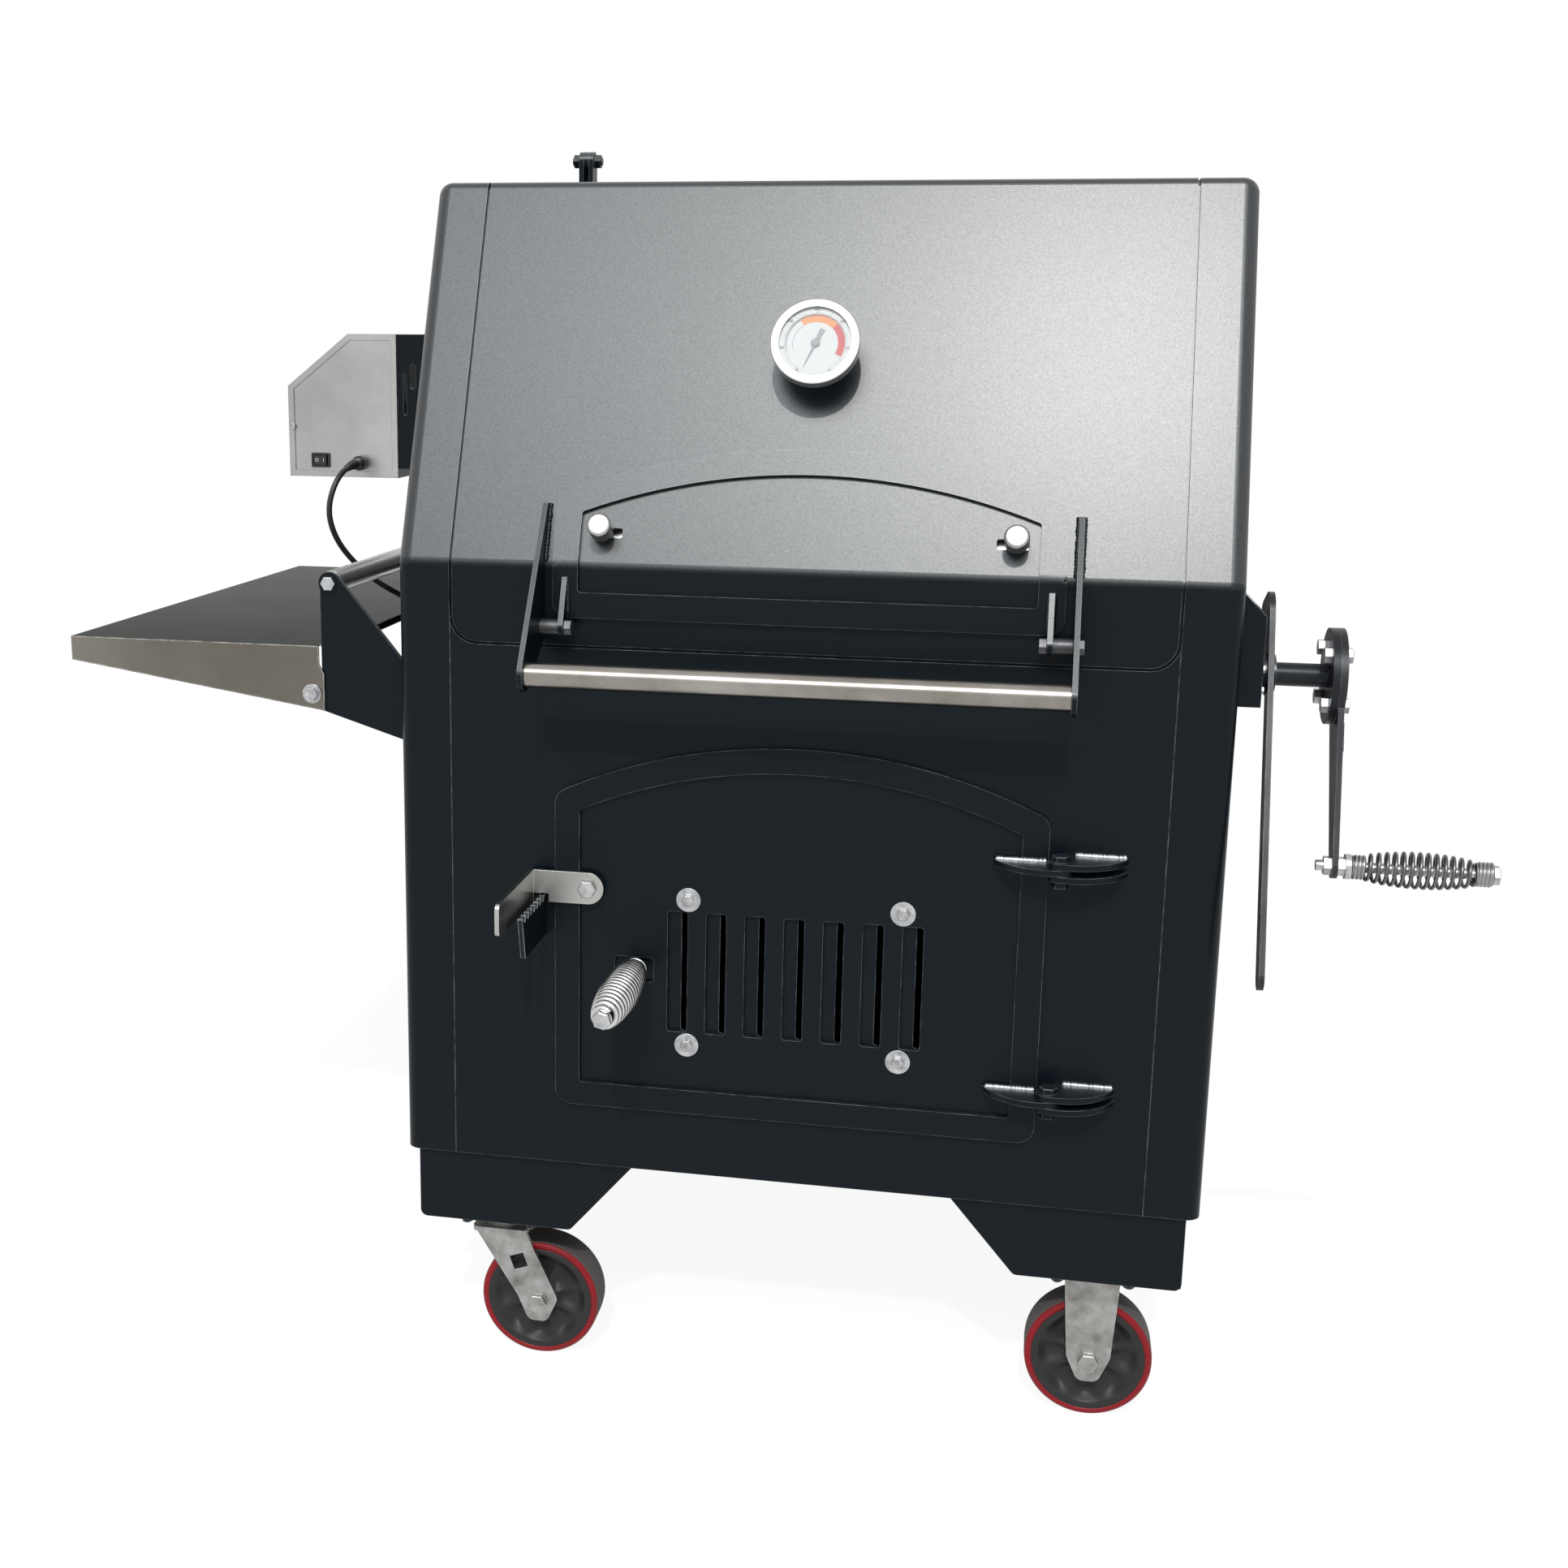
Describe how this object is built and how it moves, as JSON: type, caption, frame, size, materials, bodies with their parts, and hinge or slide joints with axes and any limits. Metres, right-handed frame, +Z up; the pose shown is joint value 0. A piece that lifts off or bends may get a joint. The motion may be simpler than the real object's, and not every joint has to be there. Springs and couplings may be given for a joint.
{
  "type": "rotisserie spit roaster",
  "caption": "Wheeled steel spit roaster: lift-up lid with a drop-down loading door, vented fire door, motor-driven spit, cranked charcoal tray and folding side shelf.",
  "frame": {"origin": "centre of the bounding box's bottom face, on the floor", "axes": "+Z up, +X to the operator's right, -Y towards the operator who faces the doors"},
  "size_m": [1.6914, 1.059, 1.518],
  "materials": {
    "black_paint": "satin, fine orange peel",
    "stainless": "brushed",
    "zinc_plate": "zinc plated",
    "spring_steel": "satin wire",
    "bare_steel": "bare, oiled",
    "bronze": "satin",
    "polished_steel": "polished",
    "dial_enamel": "matt white",
    "needle_paint": "matt black",
    "clear_glass": "clear",
    "black_plastic": "moulded",
    "cord_rubber": "matt",
    "wheel_urethane": "worn"
  },
  "bodies": {
    "cabinet": {"left_side": "black_paint", "right_side": "black_paint", "front_wall": "black_paint", "back_wall": "black_paint", "floor_plate": "black_paint", "lid_seat": "black_paint", "legs": "black_paint", "caster_mounts": "zinc_plate", "cabinet_fasteners": "zinc_plate", "body_hinges": "black_paint", "keeper_plate": "black_paint", "shelf_brackets": "black_paint", "rail": "stainless", "motor_bracket": "black_paint", "motor_case": "stainless", "motor_cover": "stainless", "gear_motor": "bare_steel", "switch_frame": "black_plastic", "cord_gland": "black_plastic", "cord": "cord_rubber", "cord_coil": "cord_rubber", "plug": "cord_rubber", "side_bushes": "bronze", "shaft_housing": "black_paint"},
    "lid": {"lid_panel": "black_paint", "lid_fittings": "black_paint", "handle_arms": "black_paint", "handle_bar": "stainless", "lid_bolts": "zinc_plate", "gauge_case": "polished_steel", "gauge_dial": "dial_enamel", "gauge_glass": "clear_glass"},
    "needle": {"gauge_needle": "needle_paint"},
    "prop": {"lid_prop": "black_paint"},
    "lid_door": {"lid_door_frame": "black_paint", "lid_door_panel": "black_paint"},
    "left_catch": {"left_catch": "black_paint"},
    "right_catch": {"right_catch": "black_paint"},
    "fire_door": {"fire_door_frame": "black_paint", "fire_door_panel": "black_paint", "door_bolts": "zinc_plate"},
    "damper": {"damper_plate": "black_paint", "damper_handle": "spring_steel"},
    "latch": {"latch_strip": "stainless"},
    "rocker": {"rocker": "black_plastic"},
    "shelf": {"shelf": "stainless"},
    "spit": {"spit_rod": "stainless", "spit_forks": "stainless"},
    "tray": {"charcoal_tray": "bare_steel"},
    "crank": {"lift_shaft": "bare_steel", "crank_arm": "bare_steel", "crank_bolts": "zinc_plate"},
    "grip": {"crank_grip": "spring_steel"},
    "lever": {"lock_lever": "black_paint"},
    "front_swivel": {"front_swivel_fork": "zinc_plate"},
    "rear_swivel": {"rear_swivel_fork": "zinc_plate"},
    "front_left_wheel": {"front_left_wheel": "wheel_urethane"},
    "rear_left_wheel": {"rear_left_wheel": "wheel_urethane"},
    "front_right_wheel": {"front_right_wheel": "wheel_urethane"},
    "rear_right_wheel": {"rear_right_wheel": "wheel_urethane"}
  },
  "joints": [
    {"name": "lid_hinge", "type": "hinge", "parent": "cabinet", "child": "lid", "pos_m": [0.07825, 0.467, 1.4745], "axis": [-1, 0, 0], "range_deg": [0, 80]},
    {"name": "needle_turn", "type": "hinge", "parent": "lid", "child": "needle", "pos_m": [0.07825, -0.23703, 1.2611], "axis": [0, 0.9238, -0.383], "range_deg": [0, 270]},
    {"name": "prop_swing", "type": "hinge", "parent": "lid", "child": "prop", "pos_m": [-0.26525, 0.0655, 1.506], "axis": [1, 0, 0], "range_deg": [0, 110]},
    {"name": "lid_door_hinge", "type": "hinge", "parent": "lid", "child": "lid_door", "pos_m": [0.07825, -0.3545, 0.957], "axis": [1, 0, 0], "range_deg": [0, 120]},
    {"name": "left_catch_slide", "type": "slide", "parent": "lid_door", "child": "left_catch", "axis": [-1, 0, 0], "range_m": [-0.016, 0.008]},
    {"name": "right_catch_slide", "type": "slide", "parent": "lid_door", "child": "right_catch", "axis": [1, 0, 0], "range_m": [-0.016, 0.008]},
    {"name": "fire_door_hinge", "type": "hinge", "parent": "cabinet", "child": "fire_door", "pos_m": [0.37825, -0.3645, 0.57], "axis": [0, 0, 1], "range_deg": [0, 140]},
    {"name": "damper_slide", "type": "slide", "parent": "fire_door", "child": "damper", "axis": [1, 0, 0], "range_m": [-0.015, 0.008]},
    {"name": "latch_pivot", "type": "hinge", "parent": "fire_door", "child": "latch", "pos_m": [-0.16775, -0.3445, 0.644], "axis": [0, 1, 0], "range_deg": [0, 60]},
    {"name": "rocker_pivot", "type": "hinge", "parent": "cabinet", "child": "rocker", "pos_m": [-0.60625, -0.03, 1.1195], "axis": [0, 0, 1], "range_deg": [0, 12]},
    {"name": "shelf_hinge", "type": "hinge", "parent": "cabinet", "child": "shelf", "pos_m": [-0.52775, 0.0975, 0.853], "axis": [0, -1, 0], "range_deg": [0, 90]},
    {"name": "spit_turn", "type": "hinge", "parent": "cabinet", "child": "spit", "pos_m": [0.07825, 0.0655, 1.19], "axis": [1, 0, 0], "continuous": true},
    {"name": "tray_lift", "type": "slide", "parent": "cabinet", "child": "tray", "axis": [0, 0, 1], "range_m": [0, 0.18]},
    {"name": "crank_turn", "type": "hinge", "parent": "cabinet", "child": "crank", "pos_m": [0.07825, -0.2345, 0.917], "axis": [1, 0, 0], "range_deg": [0, 516]},
    {"name": "grip_turn", "type": "hinge", "parent": "crank", "child": "grip", "pos_m": [0.76825, -0.32063, 0.71891], "axis": [1, 0, 0], "continuous": true},
    {"name": "lever_turn", "type": "hinge", "parent": "cabinet", "child": "lever", "pos_m": [0.598, -0.2345, 0.917], "axis": [1, 0, 0], "range_deg": [-20, 45]},
    {"name": "front_swivel_turn", "type": "hinge", "parent": "cabinet", "child": "front_swivel", "pos_m": [-0.29275, -0.2641, 0.17], "axis": [0, 0, 1], "continuous": true},
    {"name": "rear_swivel_turn", "type": "hinge", "parent": "cabinet", "child": "rear_swivel", "pos_m": [-0.29275, 0.4591, 0.17], "axis": [0, 0, 1], "continuous": true},
    {"name": "front_left_roll", "type": "hinge", "parent": "front_swivel", "child": "front_left_wheel", "pos_m": [-0.24275, -0.2641, 0.0762], "axis": [0, 1, 0], "continuous": true},
    {"name": "rear_left_roll", "type": "hinge", "parent": "rear_swivel", "child": "rear_left_wheel", "pos_m": [-0.24275, 0.4591, 0.0762], "axis": [0, 1, 0], "continuous": true},
    {"name": "front_right_roll", "type": "hinge", "parent": "cabinet", "child": "front_right_wheel", "pos_m": [0.44425, -0.2641, 0.0762], "axis": [0, 1, 0], "continuous": true},
    {"name": "rear_right_roll", "type": "hinge", "parent": "cabinet", "child": "rear_right_wheel", "pos_m": [0.44425, 0.4591, 0.0762], "axis": [0, 1, 0], "continuous": true}
  ],
  "couplings": [
    {"joint": "crank_turn", "follows": "tray_lift", "rad_per_m": 50}
  ]
}
